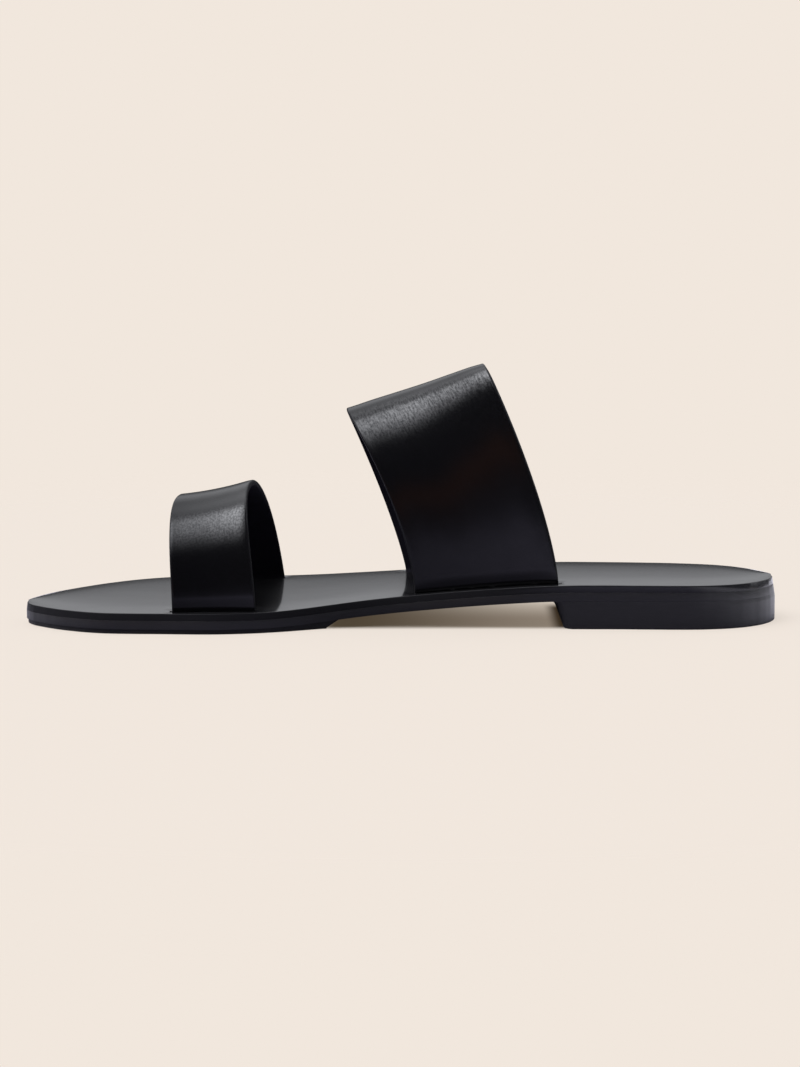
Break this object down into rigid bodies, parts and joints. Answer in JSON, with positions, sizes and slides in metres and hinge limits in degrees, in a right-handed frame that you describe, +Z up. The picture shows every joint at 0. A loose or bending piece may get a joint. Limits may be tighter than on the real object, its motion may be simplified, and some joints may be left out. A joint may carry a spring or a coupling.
{
  "type": "slide sandal",
  "caption": "Flat black leather slide sandal for a right foot: a narrow toe strap and a wide instep strap arch over a slim layered sole with a low block heel.",
  "frame": {"origin": "on the floor plane, under the middle of the sandal's overall box", "axes": "+X runs from the toe to the heel, +Y from the inner (medial) side to the outer (lateral) side, +Z is up; the sandal stands on its half sole and heel"},
  "size_m": [0.25, 0.0878, 0.0861],
  "materials": {
    "strap_leather": "black smooth leather with a soft sheen and a fine grain",
    "insole_leather": "black smooth lining leather, semi-matt",
    "sole_leather": "black dyed sole leather with a trimmed, waxed edge",
    "tread_rubber": "black matt rubber"
  },
  "bodies": {
    "root": {"insole": "insole_leather", "outsole": "sole_leather", "half_sole": "tread_rubber", "heel": "sole_leather", "front_strap": "strap_leather", "rear_strap": "strap_leather"}
  },
  "joints": []
}
